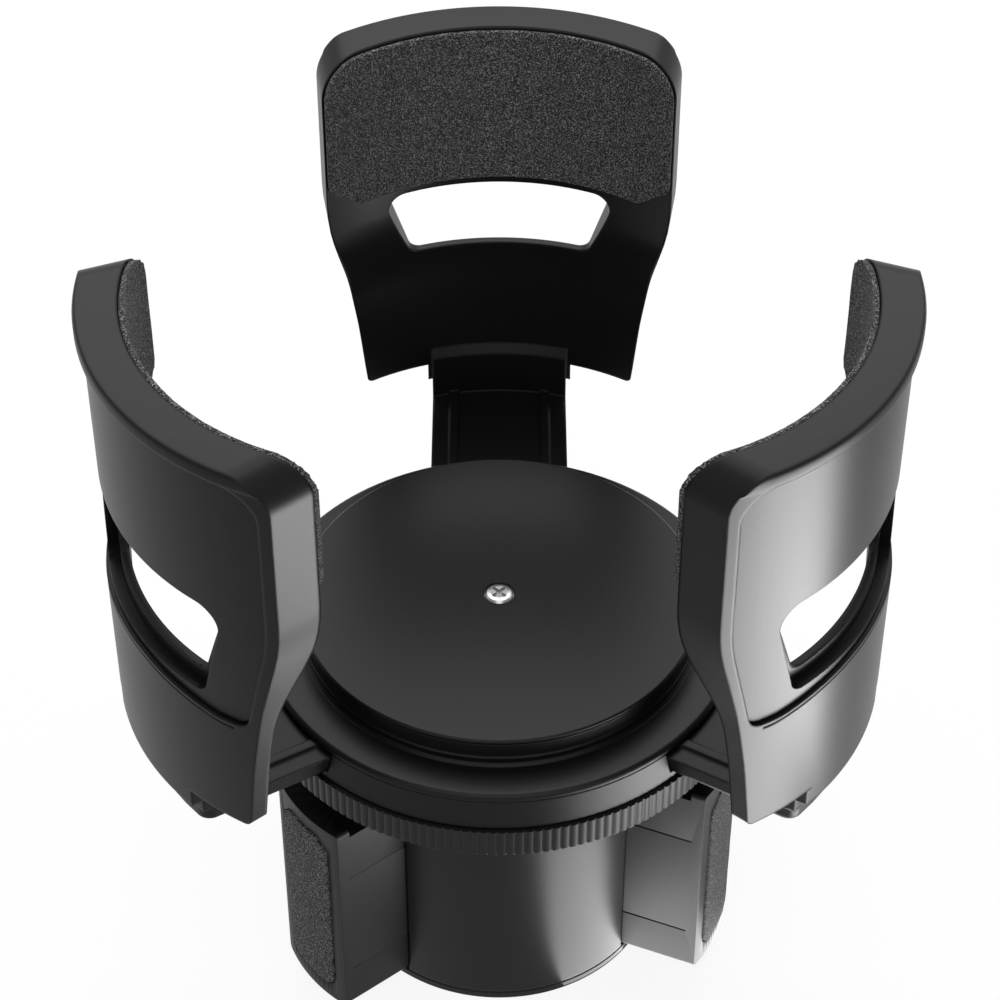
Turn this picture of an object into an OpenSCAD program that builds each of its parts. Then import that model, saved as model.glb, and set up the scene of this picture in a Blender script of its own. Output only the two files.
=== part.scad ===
// Expanding car cup holder: three padded arms slide out of a round head to grip a cup,
// and three padded legs slide out of the base tube to grip the socket in the car.
// Millimetres, +Z up. The origin is on the turning axis, on the surface that the base stands on.
// At rest the arms and the legs are fully out. Turning the grip ring draws the arms in, and
// turning the head on the base draws the legs in. The back arm points along +Y.

/* [Base] */
// Outer radius of the base tube
base_r = 35; // [34:0.5:37]
// Wall of the base tube
base_wall = 2.5; // [2:0.1:3]
// Height of the tube's top edge above the surface it stands on
base_h = 69.7; // [68.5:0.1:72]
// Thickness of the bottom cap
cap_t = 2.8; // [2.4:0.1:3.4]
// Thickness of the deck that the legs slide under
deck_t = 1.8; // [1.4:0.1:2.4]
// Radius of the centre post that the head turns on
post_r = 3.5; // [3.2:0.1:3.8]
// Turn of the legs about the axis, counted from the arms
leg_turn = 8; // [0:1:20]

/* [Legs] */
// Height of a leg
leg_h = 55.4; // [50:0.2:56]
// Width of a leg
leg_w = 21; // [17:0.5:22]
// How far a leg slides
leg_travel = 16.7; // [12:0.1:17]
// Distance from the axis to a leg's inner end when it is in
leg_in = 9; // [8:0.2:10]
// Wall of the hollow leg
leg_wall = 2.2; // [1.8:0.1:2.6]
// Margin between the leg's edge and its pad
leg_pad_margin = 2.6; // [2:0.1:3.5]
// Depth that the pad is let into the leg
leg_pad_seat = 1.2; // [0.8:0.1:1.5]
// How far the pad stands proud of the leg
leg_pad_proud = 0.4; // [0.2:0.1:0.8]
// Turn of the head that moves the legs through their whole travel, in degrees
leg_cam_turn = 100; // [80:1:105]

/* [Head] */
// Radius of the head at its parting line
head_r = 49.6; // [49.2:0.1:50]
// How much wider the head's band is at its foot
band_flare = 1.4; // [0.6:0.1:1.8]
// Thickness of the floor under the slide channels
head_floor = 1.3; // [1.1:0.1:1.6]
// Wall of the head's band
band_wall = 2.4; // [2:0.1:2.8]
// Height of the ledge above the parting line
ledge_t = 1.5; // [1.3:0.1:2]
// Rounding of the ledge's outer edge
ledge_round = 1.3; // [0.6:0.1:1.3]
// Radius of the raised drum that carries the cup
drum_r = 41; // [38:0.2:42]
// Height of the drum above the ledge
drum_h = 5.8; // [4.5:0.1:8]
// Thickness of the drum's deck
drum_deck = 1.5; // [1.3:0.1:2]
// Thickness of the floor plate on the drum
plate_t = 1.4; // [1:0.1:2]

/* [Grip ring] */
// Outer radius of the grip ring
ring_r = 52; // [51.8:0.1:53.4]
// Height of the ring's ribbed band
ring_h = 6.5; // [5.6:0.1:7]
// Wall of the ribbed band
ring_wall = 2.7; // [2.3:0.1:3]
// Number of grip ribs
rib_count = 180; // [120:6:210]
// Depth of the grooves between the ribs
rib_depth = 0.55; // [0.3:0.05:0.8]
// Turn of the ring that moves the arms through their whole travel, in degrees
arm_cam_turn = 110; // [90:1:112]

/* [Arms] */
// Distance from the axis to an arm's centre of curvature with the arms out
arm_shift = 22.8; // [22.6:0.1:23.4]
// How far an arm slides
arm_travel = 25.5; // [20:0.5:25.5]
// Outer radius of an arm's wall
arm_r = 57.4; // [57:0.1:58]
// How much the rim at the top stands out
rim_proud = 0.5; // [0.2:0.1:1]
// Radial depth of an arm's upper housing
arm_depth = 7.8; // [7.4:0.1:8.4]
// Radial depth of an arm's wall near its foot
foot_depth = 3.4; // [3:0.1:3.6]
// Height of the arms' top above the surface that the base stands on
arm_top = 180; // [176:0.5:190]
// Height of the lower edge of an arm's wall
arm_low = 88.5; // [86:0.1:89.5]
// Width of an arm's upper housing
arm_w = 74; // [72:0.5:76]
// Width of an arm's wall at its lower edge
arm_low_w = 59.6; // [56:0.2:62]
// Rounding of an arm's top corners, seen from outside
arm_corner = 8; // [5:0.5:9]
// Skin of the housing behind the pocket
arm_skin = 1.8; // [1.6:0.1:2]
// Width of the band round the cover
cover_margin = 2.1; // [1.8:0.1:2.6]
// Thickness of the outer cover
cover_t = 2.3; // [2:0.1:2.5]
// Depth that the cover's face lies below the band round it
cover_sunk = 0.8; // [0.4:0.1:1]
// Groove between the cover and the band round it
cover_gap = 0.35; // [0.25:0.05:0.5]
// Height of the window's upper edge in the housing
win_top = 141; // [139:0.5:143]
// Height of the window's lower edge in the housing
win_low = 122.5; // [121:0.5:125]
// Width of the window at its upper edge
win_w = 49; // [44:0.5:50]
// Width of the window at its lower edge
win_low_w = 38; // [34:0.5:40]
// Thickness of the arm's pad
pad_t = 1.4; // [1:0.1:2]
// Margin between the pad and the housing's edge
pad_margin = 1.2; // [1:0.1:3]

/* [Slides] */
// Width of a tongue, which slides in the head
tongue_w = 30; // [26:0.5:31]
// Thickness of a tongue
tongue_t = 3.4; // [3:0.1:3.8]
// Distance from the axis to a tongue's inner end when the arm is in
tongue_in = 9.5; // [9.4:0.1:10.5]
// Height of the two rails on a tongue
rail_h = 0.7; // [0.4:0.1:0.7]
// Radius of the drive pins of the arms
arm_pin_r = 1.5; // [1.3:0.05:1.6]
// Radius of the drive pins of the legs
leg_pin_r = 1.5; // [1.2:0.05:1.6]
// Clearance of everything that slides
slide_gap = 0.3; // [0.25:0.05:0.4]
// Radial clearance of everything that turns on a post or hub
run_gap = 0.05; // [0.03:0.01:0.08]

/* [Screws] */
// Radius of the centre screw's head
centre_head_r = 2.9; // [2.6:0.1:3.1]
// Radius of the centre screw's shank
centre_shank_r = 1.4; // [1.2:0.1:1.5]
// Radius of the small screws' heads
small_head_r = 1.8; // [1.6:0.1:1.9]
// Radius of the small screws' shanks
small_shank_r = 0.9; // [0.8:0.05:1]

/* [Hidden] */

$fn = 96;
eps = 0.01;
reach = 200;
sectors = [0, 120, 240];
black = "#2a2b2e";
soft_black = "#1c1d1f";
steel = "#c8c9cb";

// Heights of the stack, from the surface up
z_leg = cap_t + slide_gap;
z_leg_top = z_leg + leg_h;
z_deck = z_leg_top + slide_gap;
z_deck_top = z_deck + deck_t;
cam_t = 2;
z_leg_cam = z_deck_top + slide_gap;
z_leg_cam_top = z_leg_cam + cam_t;
keeper_t = 2;
z_keeper = base_h + slide_gap;
z_keeper_top = z_keeper + keeper_t;
pin_room = 1;
z_cam = z_keeper_top + pin_room;
z_cam_top = z_cam + cam_t;
z_head = z_cam_top + slide_gap;
z_channel = z_head + head_floor;
z_tongue = z_channel + slide_gap;
z_tongue_top = z_tongue + tongue_t;
z_part = z_tongue_top + rail_h + slide_gap;
z_ledge = z_part + ledge_t;
z_drum = z_ledge + drum_h;
z_floor = z_drum + plate_t;
ring_low = z_cam_top - ring_h;

// Radii and places that follow from the sizes above
hub_r = 9;
cam_hub_r = 8.2;
arm_pin_out = tongue_in + arm_travel + 3;
leg_pin_out = leg_in + leg_travel + 2.5;
leg_cam_r = base_r - base_wall - slide_gap;
cam_screw_at = 6.1;
shell_screw_at = 31;
cap_screw_at = 24;
boss_r = 3.2;
cam_screw_seat = 1.6;
cam_screw_top = z_channel - 0.6;
washer_r = post_r + 1.1;
washer_t = 0.5;
z_washer = z_drum + run_gap;
arm_in_r = arm_r - arm_depth;
foot_in_r = arm_r - foot_depth;
cover_r = arm_r - cover_sunk;
cover_in_r = cover_r - cover_t;

function unit(v) = v / norm(v);

// The arc that rounds corner b of the path a, b, c
function corner_arc(a, b, c, r, n) =
    let (u = unit(a - b), v = unit(c - b), half = acos(u * v) / 2,
         m = b + unit(u + v) * r / sin(half),
         p = b + u * r / tan(half) - m, q = b + v * r / tan(half) - m,
         from = atan2(p[1], p[0]), turn = atan2(q[1], q[0]) - from,
         swing = turn > 180 ? turn - 360 : turn < -180 ? turn + 360 : turn)
    [for (i = [0:n]) m + r * [cos(from + swing * i / n), sin(from + swing * i / n)]];

// An outline from corners written as [x, y, rounding]
function rounded(corners, n = 5) =
    let (k = len(corners), xy = [for (c = corners) [c[0], c[1]]])
    [for (i = [0:k - 1]) each corners[i][2] > 0
        ? corner_arc(xy[(i + k - 1) % k], xy[i], xy[(i + 1) % k], corners[i][2], n)
        : [xy[i]]];

// The right half of an outline, written from its lower to its upper end, with its mirror image
function both_sides(half) =
    concat(half, [for (i = [len(half) - 1:-1:0]) let (p = half[i]) if (p[0] > 0) [-p[0], p[1], p[2]]]);

module at_sectors(turn = 0) {
    for (a = sectors) rotate([0, 0, a + turn]) children();
}

// A solid whose outline is drawn in X and Z, from y_low to y_high
module front_view(points, y_low, y_high) {
    translate([0, y_high, 0]) rotate([90, 0, 0]) linear_extrude(y_high - y_low) polygon(points);
}

// A drum section given as [radius, height] corners
module turned(points, around = 0) {
    translate([0, around, 0]) rotate_extrude($fn = 180) polygon(points);
}

module tube(r, bore, z0, z1) {
    difference() {
        translate([0, 0, z0]) cylinder(r = r, h = z1 - z0);
        translate([0, 0, z0 - 1]) cylinder(r = bore, h = z1 - z0 + 2);
    }
}

// Cam slots: each is an even spiral, so its pin slides in step with the turn

// A point of the spiral, shifted sideways by side; along runs from 0 at the outer end to 1
function spiral_point(r_out, travel, turn, along, side) =
    let (r = r_out - travel * along, a = 90 - turn * along,
         out = [cos(a), sin(a)], around = [-sin(a), cos(a)],
         tangent = unit(out * travel + around * r * turn * PI / 180),
         normal = [-tangent[1], tangent[0]])
    r * out + side * normal;

// Points that go round a slot's end, from a point on one side of it to the other side
function slot_end(centre, from) =
    let (ray = from - centre, start = atan2(ray[1], ray[0]), n = 12)
    [for (i = [1:n - 1]) centre + norm(ray) * [cos(start + 180 * i / n), sin(start + 180 * i / n)]];

module cam_slot(r_out, travel, turn, half, z0, z1) {
    steps = 24;
    inner = spiral_point(r_out, travel, turn, 1, 0);
    outer = spiral_point(r_out, travel, turn, 0, 0);
    translate([0, 0, z0]) linear_extrude(z1 - z0) polygon(concat(
        [for (i = [0:steps]) spiral_point(r_out, travel, turn, i / steps, half)],
        slot_end(inner, spiral_point(r_out, travel, turn, 1, half)),
        [for (i = [steps:-1:0]) spiral_point(r_out, travel, turn, i / steps, -half)],
        slot_end(outer, spiral_point(r_out, travel, turn, 0, -half))));
}

// A slot along Y that a pin runs in, its centre line from y_in to y_out
module pin_slot(half, y_in, y_out, z0, z1) {
    translate([0, 0, z0]) linear_extrude(z1 - z0) polygon(concat(
        [[half, y_out]], slot_end([0, y_out], [half, y_out]), [[-half, y_out]],
        [[-half, y_in]], slot_end([0, y_in], [-half, y_in]), [[half, y_in]]));
}

// Screws

// Pan-head screw with a cross recess; the head's underside is at height zero and it points up
module pan_screw(head_r, head_h, shank_r, length) {
    difference() {
        union() {
            rotate_extrude($fn = 48) polygon([
                [0, 0], [head_r, 0], [head_r, head_h * 0.45], [head_r * 0.86, head_h * 0.8],
                [head_r * 0.6, head_h], [0, head_h]]);
            translate([0, 0, -length]) cylinder(r = shank_r, h = length + eps, $fn = 36);
        }
        for (a = [45, 135]) rotate([0, 0, a])
            translate([-head_r * 0.62, -head_r * 0.13, head_h * 0.4])
                cube([head_r * 1.24, head_r * 0.26, head_h]);
    }
}

// Base

// Guide slots for the legs, cut from the tube's foot up to a fine lip below the deck
module leg_slots() {
    lip = 0.1;
    at_sectors(leg_turn)
        translate([-leg_w / 2 - slide_gap, leg_in - 1, cap_t - 1])
            cube([leg_w + 2 * slide_gap, base_r, z_deck - lip - cap_t + 1]);
}

module base_tube() color(black) {
    bore = base_r - base_wall;
    difference() {
        union() {
            turned([[0, cap_t], [post_r, cap_t], [post_r, z_deck], [bore, z_deck], [bore, cap_t],
                [base_r, cap_t], [base_r, base_h], [bore, base_h], [bore, z_deck_top], [post_r, z_deck_top],
                [post_r, z_washer], [0, z_washer]]);
            at_sectors(leg_turn + 60) translate([0, cap_screw_at, cap_t])
                cylinder(r = boss_r, h = z_deck - cap_t + eps);
        }
        leg_slots();
        at_sectors(leg_turn)
            pin_slot(leg_pin_r + slide_gap, leg_pin_out - leg_travel, leg_pin_out,
                z_deck - 1, z_deck_top + 1);
        translate([0, 0, z_drum - 14]) cylinder(r = centre_shank_r, h = 20, $fn = 36);
        at_sectors(leg_turn + 60)
            translate([0, cap_screw_at, 0]) cylinder(r = small_shank_r, h = cap_t + 8, $fn = 36);
    }
}

module bottom_cap() color(black) {
    lip = 0.6;
    difference() {
        turned([[0, 0], [base_r - lip, 0], [base_r, lip], [base_r, cap_t - lip],
            [base_r - lip, cap_t], [0, cap_t]]);
        at_sectors(leg_turn + 60) translate([0, cap_screw_at, -1]) {
            cylinder(r = small_shank_r + 0.1, h = cap_t + 2, $fn = 36);
            cylinder(r = small_head_r + 0.3, h = 2.5, $fn = 36);
        }
    }
}

module cap_screws() color(steel)
    at_sectors(leg_turn + 60) translate([0, cap_screw_at, 1.5]) mirror([0, 0, 1])
        pan_screw(small_head_r, 1.1, small_shank_r, 8);

module centre_washer() color(steel)
    tube(washer_r, centre_shank_r + 0.1, z_washer, z_washer + washer_t);

module centre_screw() color(steel)
    translate([0, 0, z_washer + washer_t]) pan_screw(centre_head_r, 1.2, centre_shank_r, 12);

// Head

// Turns inside the base tube and drives the legs' pins through three spiral slots
module leg_cam() color(black) {
    difference() {
        union() {
            tube(leg_cam_r, post_r + run_gap, z_leg_cam, z_leg_cam_top);
            tube(cam_hub_r, post_r + run_gap, z_leg_cam, z_keeper);
        }
        at_sectors(leg_turn) cam_slot(leg_pin_out, leg_travel, leg_cam_turn, leg_pin_r + slide_gap,
            z_leg_cam - 1, z_leg_cam_top + 1);
        at_sectors(60) translate([0, cam_screw_at, z_leg_cam - 1]) {
            cylinder(r = small_shank_r, h = z_keeper, $fn = 36);
            cylinder(r = small_head_r + 0.15, h = 1 + cam_screw_seat, $fn = 36);
        }
    }
}

module cam_screws() color(steel)
    at_sectors(60) translate([0, cam_screw_at, z_leg_cam + cam_screw_seat]) mirror([0, 0, 1])
        pan_screw(small_head_r, 1.3, small_shank_r, cam_screw_top - z_leg_cam - cam_screw_seat);

// Holds the grip ring up against the head
module ring_keeper() color(black) {
    keeper_r = ring_r - ring_wall - 0.8;
    difference() {
        turned([[post_r + run_gap, z_keeper], [keeper_r, z_keeper], [keeper_r, z_cam - slide_gap],
            [keeper_r - 3, z_cam - slide_gap], [keeper_r - 3, z_keeper_top],
            [post_r + run_gap, z_keeper_top]]);
        at_sectors(60) translate([0, cam_screw_at, z_keeper - 1])
            cylinder(r = small_shank_r, h = keeper_t + 2, $fn = 36);
    }
}

// The channel that a tongue slides in, cut through the band
module tongue_channel() {
    translate([-tongue_w / 2 - slide_gap, 0, z_channel]) cube([tongue_w + 2 * slide_gap, reach, z_part]);
}

module lower_shell() color(black) {
    pocket_wall = 2;
    difference() {
        union() {
            difference() {
                turned([[0, z_head], [head_r + band_flare, z_head], [head_r, z_part], [0, z_part]]);
                at_sectors() tongue_channel();
                difference() {
                    translate([0, 0, z_channel]) cylinder(r = head_r - band_wall, h = z_part);
                    at_sectors() translate([-tongue_w / 2 - slide_gap - pocket_wall, 0, 0])
                        cube([tongue_w + 2 * (slide_gap + pocket_wall), reach, reach]);
                    at_sectors(60) translate([0, shell_screw_at, 0]) cylinder(r = boss_r, h = reach);
                }
            }
            translate([0, 0, z_keeper_top]) cylinder(r = hub_r, h = z_channel - z_keeper_top);
            translate([0, 0, z_channel - eps]) cylinder(r = 6.5, h = z_part - z_channel + eps);
        }
        translate([0, 0, z_keeper_top - 1]) cylinder(r = post_r + run_gap, h = z_part);
        at_sectors()
            pin_slot(arm_pin_r + slide_gap, arm_pin_out - arm_travel, arm_pin_out, z_head - 1, z_channel + 1);
        at_sectors(60) {
            translate([0, cam_screw_at, z_keeper_top - 1])
                cylinder(r = small_shank_r, h = cam_screw_top - z_keeper_top + 1, $fn = 36);
            translate([0, shell_screw_at, z_head - 1]) {
                cylinder(r = small_shank_r + 0.1, h = reach, $fn = 36);
                cylinder(r = small_head_r + 0.2, h = 2.9, $fn = 36);
            }
        }
    }
}

module shell_screws() color(steel)
    at_sectors(60) translate([0, shell_screw_at, z_head + 1.9]) mirror([0, 0, 1])
        pan_screw(small_head_r, 1.3, small_shank_r, 8);

// Ledge and drum in one moulding, open below
module upper_shell() color(black) {
    drum_wall = 2.2;
    ridge = 0.35;
    ridge_z = z_ledge + drum_h * 0.36;
    difference() {
        union() {
            turned(concat(
                [[drum_r - drum_wall, z_part], [head_r - 0.3, z_part]],
                [for (i = [0:5]) [head_r - ledge_round + ledge_round * cos(i * 18),
                    z_ledge - ledge_round + ledge_round * sin(i * 18)]],
                [[drum_r + 0.6, z_ledge], [drum_r, z_ledge + 0.6], [drum_r, ridge_z - ridge],
                    [drum_r + ridge, ridge_z], [drum_r, ridge_z + ridge], [drum_r, z_drum],
                    [post_r + run_gap, z_drum], [post_r + run_gap, z_drum - drum_deck],
                    [drum_r - drum_wall, z_drum - drum_deck]]));
            at_sectors(60) translate([0, shell_screw_at, z_part])
                cylinder(r = boss_r, h = z_drum - z_part - drum_deck + eps);
        }
        at_sectors(60) translate([0, shell_screw_at, z_part - 1])
            cylinder(r = small_shank_r, h = 5.5, $fn = 36);
    }
}

module floor_plate() color(black) {
    bead = 0.35;
    hole_r = washer_r + 0.4;
    turned([[hole_r, z_drum], [drum_r - 0.5, z_drum], [drum_r, z_drum + 0.3], [drum_r + bead, z_drum + 0.7],
        [drum_r + bead, z_floor - bead], [drum_r, z_floor], [hole_r + 0.3, z_floor],
        [hole_r, z_floor - 0.3]]);
}

// Grip ring with its fine ribs; its plate holds the spiral slots that draw the arms
module grip_ring() color(black) {
    difference() {
        translate([0, 0, ring_low]) linear_extrude(ring_h) polygon([
            for (i = [0:2 * rib_count - 1]) let (r = ring_r - (i % 2) * rib_depth, a = i * 180 / rib_count)
                [r * cos(a), r * sin(a)]]);
        translate([0, 0, ring_low - 1]) cylinder(r = ring_r - ring_wall, h = z_cam - ring_low + 1);
        translate([0, 0, z_cam - 1]) cylinder(r = hub_r + run_gap, h = cam_t + 2);
        at_sectors() cam_slot(arm_pin_out, arm_travel, arm_cam_turn, arm_pin_r + slide_gap,
            z_cam - 1, z_cam_top + 1);
    }
}

// Arms

// Half width of the housing's outline at its bends, drawn in by inset
function arm_outline(inset) = rounded(both_sides([
    [arm_low_w / 2 - inset, arm_low + inset, 1.5],
    [arm_low_w / 2 + 1.4 - inset, arm_low + 15, 30],
    [arm_low_w / 2 + 4.4 - inset, arm_low + 34, 30],
    [arm_w / 2 - inset, arm_top - 38, 22],
    [arm_w / 2 - inset, arm_top - inset, arm_corner - inset]]));

// The cover's outline ends above the foot in a shallow arch
function cover_outline(inset) = rounded(both_sides([
    [0, win_low - 3.4 + inset, 0],
    [arm_low_w / 2 - 5 - inset, win_low - 6.6 + inset, 12],
    [arm_low_w / 2 + 1 - inset, win_low - 6.2 + inset, 3],
    [arm_low_w / 2 + 4.6 - cover_margin - inset, win_low + 6, 20],
    [arm_w / 2 - cover_margin - inset, arm_top - 38, 22],
    [arm_w / 2 - cover_margin - inset, arm_top - 3.6 - inset, arm_corner - 1.5 - inset]]));

function window_outline(grow, grow_low) = rounded(both_sides([
    [win_low_w / 2 + grow, win_low - grow_low, 3],
    [win_w / 2 + grow, win_top + grow, 3.5 + grow / 2]]));

// Inner face of the arm, from the foot up; set back by depth
function inner_face(depth) = [
    [foot_in_r + depth, arm_low + 7],
    [arm_r - (foot_depth + (arm_depth - foot_depth) * 0.16) + depth, arm_low + 20],
    [arm_r - (foot_depth + (arm_depth - foot_depth) * 0.5) + depth, win_low],
    [arm_in_r + 0.6 + depth, win_top - 5],
    [arm_in_r + depth, win_top + 2]];

// Narrows the housing slightly towards its inner face
module arm_wedge() {
    linear_extrude(reach) polygon([[-30, 30], [30, 30], [arm_w / 2 - 3.2, arm_shift + 32],
        [arm_w / 2 + 0.8, arm_shift + 47], [arm_w / 2 + 2, reach], [-arm_w / 2 - 2, reach],
        [-arm_w / 2 - 0.8, arm_shift + 47], [-arm_w / 2 + 3.2, arm_shift + 32]]);
}

module arm_wall() {
    rim_r = arm_r + rim_proud;
    intersection() {
        turned(concat(
            [[arm_r, z_tongue], [arm_r, arm_top - 3.4], [rim_r, arm_top - 2.8],
                [rim_r, arm_top - 0.9], [rim_r - 0.3, arm_top - 0.3], [rim_r - 0.9, arm_top],
                [arm_in_r + 0.5, arm_top], [arm_in_r, arm_top - 0.5]],
            [for (i = [4:-1:0]) inner_face(0)[i]],
            [[foot_in_r, z_tongue]]), arm_shift);
        front_view(arm_outline(0), 0, reach);
        arm_wedge();
    }
}

// The foot and the tongue carry the arm; the tongue's rails show on its top
module arm_foot() {
    intersection() {
        turned([[foot_in_r, z_tongue], [arm_r, z_tongue], [arm_r, arm_low + 3], [foot_in_r, arm_low + 3]],
            arm_shift);
        translate([-tongue_w / 2, 0, 0]) cube([tongue_w, reach, reach]);
    }
    intersection() {
        translate([0, arm_shift, z_tongue]) cylinder(r = foot_in_r + 1, h = tongue_t, $fn = 180);
        translate([-tongue_w / 2, tongue_in + arm_travel, 0]) cube([tongue_w, reach, reach]);
    }
    for (side = [-1, 1])
        translate([side * tongue_w * 0.34 - 1, tongue_in + arm_travel, z_tongue_top - eps])
            cube([2, arm_shift + 46 - tongue_in - arm_travel, rail_h + eps]);
}

module arm() {
    difference() {
        union() {
            arm_wall();
            arm_foot();
        }
        // Seat of the cover
        intersection() {
            turned([[cover_in_r, 0], [reach, 0], [reach, reach], [cover_in_r, reach]], arm_shift);
            front_view(cover_outline(0), 0, reach);
        }
        // Hollow behind the cover, with a collar left round the window
        difference() {
            intersection() {
                turned(concat(
                    [for (i = [1:4]) [min(inner_face(arm_skin)[i][0], cover_in_r), inner_face(0)[i][1]]],
                    [[arm_in_r + arm_skin, arm_top - 6], [cover_in_r + eps, arm_top - 6],
                        [cover_in_r + eps, arm_low + 20]]), arm_shift);
                front_view(cover_outline(1.6), 0, reach);
            }
            front_view(window_outline(4.6, 6), 0, reach);
        }
        front_view(window_outline(0, 0), 0, reach);
        translate([0, arm_pin_out, z_tongue - 1]) cylinder(r = arm_pin_r, h = tongue_t, $fn = 48);
    }
}

module arm_cover() {
    difference() {
        intersection() {
            turned([[cover_in_r, 0], [cover_r, 0], [cover_r, reach], [cover_in_r, reach]], arm_shift);
            front_view(cover_outline(cover_gap), 0, reach);
        }
        front_view(window_outline(2.4, 2.9), 0, reach);
    }
}

module arm_pad() {
    m = pad_margin;
    intersection() {
        turned([[arm_in_r - pad_t, 0], [arm_in_r, 0], [arm_in_r, reach], [arm_in_r - pad_t, reach]],
            arm_shift);
        front_view(rounded(both_sides([
            [arm_w / 2 - m - 9, win_top + 2.2, 3],
            [arm_w / 2 - m - 2.6, win_top + 9, 4],
            [arm_w / 2 - m - 2.6, arm_top - m, arm_corner - m]])), 0, reach);
    }
}

module arm_pin() {
    translate([0, arm_pin_out, z_keeper_top + slide_gap])
        cylinder(r = arm_pin_r, h = z_tongue_top - 1 - z_keeper_top - slide_gap, $fn = 48);
}

// Legs

module leg_body() {
    intersection() {
        translate([0, leg_travel, z_leg]) cylinder(r = base_r, h = leg_h, $fn = 180);
        front_view(rounded([[leg_w / 2, z_leg, 1], [leg_w / 2, z_leg_top, 1], [-leg_w / 2, z_leg_top, 1],
            [-leg_w / 2, z_leg, 1]]), leg_in + leg_travel, reach);
    }
}

function leg_pad_outline(inset) =
    let (x = leg_w / 2 - leg_pad_margin - inset)
    rounded([[x, z_leg + 4 + inset, 3], [x, z_leg_top - 7, 1], [x - 3.4, z_leg_top - 3.4 - inset, 1],
        [-x + 3.4, z_leg_top - 3.4 - inset, 1], [-x, z_leg_top - 7, 1], [-x, z_leg + 4 + inset, 3]]);

module leg() {
    groove = 0.5;
    inner = leg_in + leg_travel;
    difference() {
        leg_body();
        translate([-leg_w / 2 + leg_wall, inner - 1, z_leg + leg_wall])
            cube([leg_w - 2 * leg_wall, base_r + leg_travel - inner - 4.5, leg_h - leg_wall - 8]);
        // Two fine grooves across each side face
        for (side = [-1, 1], z = [z_leg + leg_h * 0.2, z_leg + leg_h * 0.73])
            translate([side * leg_w / 2 - groove, inner - 1, z])
                cube([2 * groove, base_r + leg_travel - inner - 3, groove]);
        // Seat of the pad
        difference() {
            front_view(leg_pad_outline(0), leg_travel, reach);
            translate([0, leg_travel, 0]) cylinder(r = base_r - leg_pad_seat, h = reach, $fn = 180);
        }
        translate([0, leg_pin_out, z_leg_top - 6]) cylinder(r = leg_pin_r, h = 10, $fn = 48);
    }
}

module leg_pad() {
    intersection() {
        translate([0, leg_travel, 0]) tube(base_r + leg_pad_proud, base_r - leg_pad_seat, 0, reach);
        front_view(leg_pad_outline(0.2), leg_travel, reach);
    }
}

module leg_pin() {
    translate([0, leg_pin_out, z_leg_top - 6])
        cylinder(r = leg_pin_r, h = z_leg_cam_top - z_leg_top + 5.8, $fn = 48);
}

module back() { children(); }
module left() { rotate([0, 0, 120]) children(); }
module right() { rotate([0, 0, 240]) children(); }
module at_leg() { rotate([0, 0, leg_turn]) children(); }

base_tube();
bottom_cap();
cap_screws();
centre_screw();
centre_washer();
leg_cam();
cam_screws();
ring_keeper();
lower_shell();
shell_screws();
upper_shell();
floor_plate();
grip_ring();
color(black) back() arm();  // arm_back
color(black) back() arm_cover();  // arm_back_cover
color(soft_black) back() arm_pad();  // arm_back_pad
color(steel) back() arm_pin();  // arm_back_pin
color(black) left() arm();  // arm_left
color(black) left() arm_cover();  // arm_left_cover
color(soft_black) left() arm_pad();  // arm_left_pad
color(steel) left() arm_pin();  // arm_left_pin
color(black) right() arm();  // arm_right
color(black) right() arm_cover();  // arm_right_cover
color(soft_black) right() arm_pad();  // arm_right_pad
color(steel) right() arm_pin();  // arm_right_pin
color(black) back() at_leg() leg();  // leg_back
color(soft_black) back() at_leg() leg_pad();  // leg_back_pad
color(steel) back() at_leg() leg_pin();  // leg_back_pin
color(black) left() at_leg() leg();  // leg_left
color(soft_black) left() at_leg() leg_pad();  // leg_left_pad
color(steel) left() at_leg() leg_pin();  // leg_left_pin
color(black) right() at_leg() leg();  // leg_right
color(soft_black) right() at_leg() leg_pad();  // leg_right_pad
color(steel) right() at_leg() leg_pin();  // leg_right_pin
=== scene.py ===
"""Looks of an expanding car cup holder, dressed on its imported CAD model.

The scene is in metres. +Z is up, the back arm points along +Y and the camera stands on the -Y side.
A Solid, and the sizes that it is made from, are in millimetres until it becomes a piece of the scene.
"""

from __future__ import annotations

import logging
import math
from collections.abc import Callable
from dataclasses import dataclass, field
from enum import Enum

import bmesh
import bpy
from mathutils import Matrix, Quaternion, Vector, noise


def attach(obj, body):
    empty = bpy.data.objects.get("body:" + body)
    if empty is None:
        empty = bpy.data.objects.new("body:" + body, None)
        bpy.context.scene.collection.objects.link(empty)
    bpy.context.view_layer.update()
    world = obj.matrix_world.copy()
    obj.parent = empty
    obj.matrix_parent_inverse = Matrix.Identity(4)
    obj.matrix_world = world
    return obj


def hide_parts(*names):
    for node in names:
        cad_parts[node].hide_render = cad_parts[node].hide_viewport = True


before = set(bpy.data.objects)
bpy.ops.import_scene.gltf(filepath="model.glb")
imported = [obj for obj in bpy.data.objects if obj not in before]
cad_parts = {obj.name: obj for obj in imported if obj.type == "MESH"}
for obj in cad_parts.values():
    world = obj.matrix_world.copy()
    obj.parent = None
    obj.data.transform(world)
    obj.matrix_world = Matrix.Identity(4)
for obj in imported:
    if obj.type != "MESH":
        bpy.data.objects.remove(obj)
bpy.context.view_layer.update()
MM = 0.001
CARD_HEIGHT = 1 * MM
BEVEL_SAMPLES = 6

# Lengths of the solids, in millimetres
REACH = 200.0  # further than any part of the holder
CLEAR = 1.0  # how far a cutter passes the face that it cuts
HAIR = 0.01  # how far joined solids overlap, and how far a turned one stays off its axis
WELD = 0.0005  # points nearer than this are one

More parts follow.
